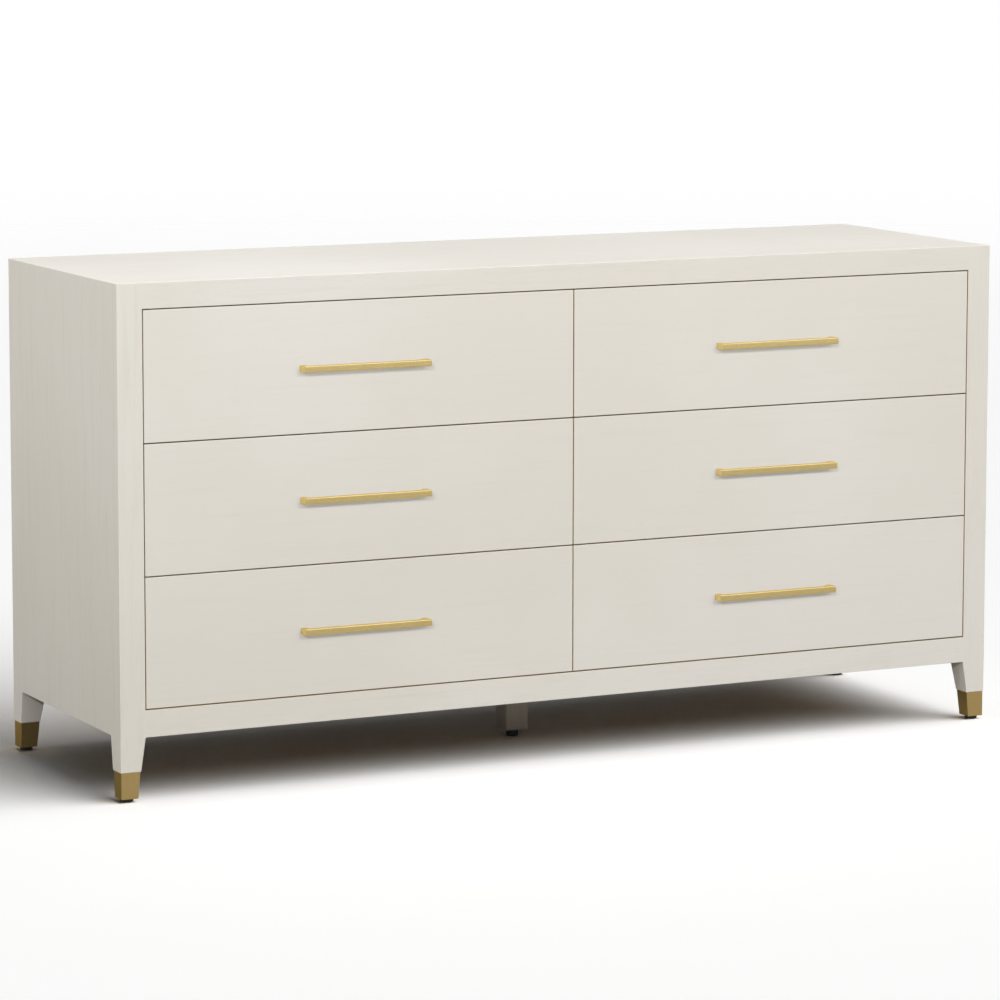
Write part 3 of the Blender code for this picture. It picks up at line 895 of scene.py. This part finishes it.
def make_slide_details(label, place, looks):
    """The bearing of one slide and the screws of both its channels.

    facing is the way from the runner to the slider along X.
    """
    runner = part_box(f"runner_{label}_{place}")
    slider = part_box(f"slider_{label}_{place}")
    make_bearing(label, place, runner, slider, looks)

    runner_low, runner_high = runner
    slider_low, slider_high = slider
    facing = 1.0 if (slider_low.x + slider_high.x) > (runner_low.x + runner_high.x) else -1.0
    middle_z = (runner_low.z + runner_high.z) / 2
    length = runner_high.y - runner_low.y
    runner_wall = runner_low.x if facing > 0 else runner_high.x
    slider_wall = slider_high.x if facing > 0 else slider_low.x
    make_slide_screws(
        f"runner_screws_{label}_{place}",
        "carcass",
        runner_wall + facing * SHEET,
        facing,
        [runner_low.y + share * length for share in RUNNER_SCREWS],
        middle_z,
        looks,
    )
    make_slide_screws(
        f"slider_screws_{label}_{place}",
        f"drawer_{label}",
        slider_wall - facing * SHEET,
        -facing,
        [slider_low.y + share * length for share in SLIDER_SCREWS],
        middle_z,
        looks,
    )


# Back panel -----------------------------------------------------------------------------------


def make_back_screws(looks):
    """Small screws round the edge and down the middle of the back panel."""
    low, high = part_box("back_panel")
    left = low.x + BACK_SCREW_MARGIN
    right = high.x - BACK_SCREW_MARGIN
    places = []
    across = int((high.x - low.x) / BACK_SCREW_SPACING)
    for step in range(across + 1):
        x = left + (right - left) * step / across
        places.append((x, low.z + BACK_SCREW_MARGIN + LOWER_ROW_RAISE))
        places.append((x, high.z - BACK_SCREW_MARGIN))
    up = int((high.z - low.z) / BACK_SCREW_SPACING)
    for step in range(1, up):
        z = low.z + (high.z - low.z) * step / up
        places.extend(((left, z), (0.0, z), (right, z)))
    fixings = bmesh.new()
    for x, z in places:
        add_screw_head(fixings, (x, high.y, z), (0, 1, 0), BACK_SCREW_RADIUS, BACK_SCREW_HEIGHT)
    screws = make_piece("back_panel_screws", fixings, [looks["zinc"]], "carcass")
    smooth(screws)


# CAD nodes that stay --------------------------------------------------------------------------


def dress_node(node, material):
    """Give a CAD node that stays visible its finished material."""
    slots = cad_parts[node].data.materials
    slots.clear()
    slots.append(material)


def dress_cad_nodes(looks):
    """Finish the panels, the centre leg, the glides, the brass caps and the slides' channels."""
    dress_node("back_panel", looks["sheet_x"])
    dress_node("base_panel", looks["sheet_x"])
    dress_node("centre_divider", looks["wood_z"])
    dress_node("centre_leg", looks["paint_z"])
    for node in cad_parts:
        if node.startswith("glide"):
            dress_node(node, looks["nylon"])
        elif node.startswith("ferrule"):
            dress_node(node, looks["brass_z"])
        elif node.startswith(("runner", "slider")):
            dress_node(node, looks["zinc"])


# Studio ---------------------------------------------------------------------------------------


def make_camera():
    """A long lens at the front left, above the top and pointing slightly down."""
    data = bpy.data.cameras.new("camera")
    data.lens = CAMERA_LENS
    data.sensor_width = CAMERA_SENSOR
    data.shift_y = CAMERA_RISE
    data.clip_end = CAMERA_SIGHT
    camera = bpy.data.objects.new("camera", data)
    camera.location = CAMERA_PLACE
    tilt = math.radians(90.0 + CAMERA_TILT)
    turn = Euler((tilt, 0.0, math.radians(CAMERA_HEADING))).to_quaternion()
    roll = Matrix.Rotation(math.radians(CAMERA_ROLL), 4, "Z").to_quaternion()
    camera.rotation_euler = (turn @ roll).to_euler()
    bpy.context.scene.collection.objects.link(camera)
    bpy.context.scene.camera = camera


def make_floor():
    """Plain white floor that fades into the white surroundings far from the object.

    It is darker as a light on the object and in its reflections than it is to the camera.
    """
    mesh_data = bmesh.new()
    bmesh.ops.create_grid(mesh_data, x_segments=1, y_segments=1, size=FLOOR_SIZE / 2)
    mesh = bpy.data.meshes.new("floor")
    mesh_data.to_mesh(mesh)
    mesh_data.free()
    floor = bpy.data.objects.new("floor", mesh)
    bpy.context.scene.collection.objects.link(floor)
    graph = Graph("studio_floor")
    tree = graph.tree
    dust = graph.noise(graph.stretch((3.0, 3.0, 3.0)), 4.0)
    path = graph.add("ShaderNodeLightPath")
    as_light = rgb(0.24, 0.228, 0.195)
    in_reflections = rgb(0.38, 0.36, 0.31)
    to_camera = rgb(0.98, 0.98, 0.98)
    tone = graph.mix(path.outputs["Is Glossy Ray"], as_light, in_reflections)
    tone = graph.mix(path.outputs["Is Camera Ray"], tone, to_camera)
    graph.finish(tone, graph.ramp(dust, 0.3, 0.7, 0.75, 0.85))
    clear = graph.add("ShaderNodeBsdfTransparent")
    spread = graph.add("ShaderNodeVectorMath", operation="LENGTH")
    graph.feed(spread.inputs[0], graph.place)
    fade = graph.ramp(spread.outputs["Value"], *FLOOR_FADE)
    blend = graph.add("ShaderNodeMixShader")
    graph.feed(blend.inputs["Fac"], fade)
    tree.links.new(graph.shader.outputs["BSDF"], blend.inputs[1])
    tree.links.new(clear.outputs["BSDF"], blend.inputs[2])
    tree.links.new(blend.outputs["Shader"], tree.nodes["Material Output"].inputs["Surface"])
    mesh.materials.append(graph.material)
    return floor


def link_light(lamp, pieces, state, role="receiver"):
    """Let a light reach only some pieces, or pass them by, or cast no shadow of them.

    state is INCLUDE or EXCLUDE, and role is receiver, or blocker for the shadows.
    """
    linked = bpy.data.collections.new(f"{lamp.name}_{role}s")
    for piece in pieces:
        linked.objects.link(piece)
    for member in linked.collection_objects:
        member.light_linking.link_state = state
    setattr(lamp.light_linking, f"{role}_collection", linked)


def add_softbox(name, place, aim, size, power):
    """A rectangular soft light at a place, turned to face a point."""
    data = bpy.data.lights.new(name, "AREA")
    data.shape = "RECTANGLE"
    data.size, data.size_y = size
    data.energy = power
    lamp = bpy.data.objects.new(name, data)
    lamp.location = place
    lamp.rotation_euler = (Vector(aim) - Vector(place)).to_track_quat("-Z", "Y").to_euler()
    lamp.visible_camera = False
    bpy.context.scene.collection.objects.link(lamp)
    return lamp


def add_sun(name, heading, height, softness, strength):
    """Soft light from far away.

    heading is measured in degrees from straight in front, to the right, and height up from level.
    """
    data = bpy.data.lights.new(name, "SUN")
    data.energy = strength
    data.angle = math.radians(softness)
    lamp = bpy.data.objects.new(name, data)
    turn = math.radians(heading)
    rise = math.radians(height)
    direction = Vector((math.sin(turn) * math.cos(rise), -math.cos(turn) * math.cos(rise), math.sin(rise)))
    lamp.rotation_euler = direction.to_track_quat("Z", "Y").to_euler()
    bpy.context.scene.collection.objects.link(lamp)
    return lamp


def make_lights(floor, handles):
    """Light the floor and the object apart, as flags do in a studio.

    Two suns light nothing but the floor.  All the others light the object, from the front, the left
    side, overhead and behind, and leave out the floor and what stands in the shadow under the case.
    """
    under_case = [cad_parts[node] for node in ("centre_leg", "glide_centre")]
    floor_lights = (
        add_sun("floor_key", heading=47.0, height=49.0, softness=62.0, strength=3.4),
        add_sun("floor_fill", heading=47.0, height=67.0, softness=100.0, strength=0.40),
    )
    front_lights = (
        add_sun("front_left", heading=-34.0, height=21.0, softness=4.0, strength=0.64),
        add_sun("front_right", heading=8.5, height=21.0, softness=4.0, strength=0.52),
        add_softbox(
            "front_low", place=(0.25, -1.9, 1.2), aim=(0.3, -0.25, 0.75), size=(4.5, 0.4), power=11.3
        ),
    )
    side_lights = (
        add_sun("side_fill", heading=-80.0, height=35.0, softness=50.0, strength=0.42),
        add_softbox(
            "side_low", place=(-2.3, -0.2, 1.3), aim=(-0.84, 0.0, 0.75), size=(1.8, 0.4), power=7.6
        ),
    )
    overhead = add_sun("overhead", heading=0.0, height=90.0, softness=90.0, strength=2.0)
    wide_lights = (
        add_softbox(
            "front_high", place=(0.25, -1.6, 2.4), aim=(0.3, -0.3, 0.7), size=(4.5, 0.8), power=18.6
        ),
        add_softbox(
            "back_low", place=(0.4, 2.2, 0.45), aim=(0.0, 0.27, 0.45), size=(3.2, 0.6), power=16.0
        ),
    )
    for lamp in floor_lights:
        link_light(lamp, (floor,), "INCLUDE")
    for lamp in (*front_lights, *wide_lights):
        link_light(lamp, (floor, *under_case), "EXCLUDE")
        # A sun's reflection would bleach the top when it is seen from behind.
        lamp.visible_glossy = lamp.data.type != "SUN"
    for lamp in side_lights:
        lamp.data.color = SIDE_TINT
    for lamp in (*side_lights, overhead):
        link_light(lamp, (floor, *under_case, *handles), "EXCLUDE")
    # Only the front lights cast the handles' shadows, which stay small and crisp that way.
    for lamp in (*side_lights, *wide_lights, overhead):
        link_light(lamp, handles, "EXCLUDE", "blocker")


def make_world():
    """White to the camera, bright in reflections, and dim as a light.

    Each step sends one kind of ray a level of its own and hands the others the level before it.
    """
    world = bpy.data.worlds.new("studio")
    bpy.context.scene.world = world
    world.use_nodes = True
    tree = world.node_tree
    background = tree.nodes["Background"]
    path = tree.nodes.new("ShaderNodeLightPath")
    level = FILL_LEVEL
    for ray, bright in (("Is Glossy Ray", SHINE_LEVEL), ("Is Camera Ray", 1.0)):
        step = tree.nodes.new("ShaderNodeMapRange")
        tree.links.new(path.outputs[ray], step.inputs["Value"])
        if isinstance(level, float):
            step.inputs["To Min"].default_value = level
        else:
            tree.links.new(level, step.inputs["To Min"])
        step.inputs["To Max"].default_value = bright
        level = step.outputs["Result"]
    tree.links.new(level, background.inputs["Strength"])
    background.inputs["Color"].default_value = (1.0, 1.0, 1.0, 1.0)
    bpy.context.scene.view_settings.view_transform = "Standard"


def main():
    """Build the whole scene."""
    looks = make_materials()
    make_camera()
    make_painted_case(looks)
    handles = []
    for label in DRAWERS:
        make_drawer_front(label, looks)
        make_drawer_box(label, looks)
        handles.append(make_handle(label, looks))
        make_handle_screws(label, looks)
        for place in ("inner", "outer"):
            make_slide_details(label, place, looks)
    make_back_screws(looks)
    dress_cad_nodes(looks)
    make_lights(make_floor(), handles)
    make_world()


main()
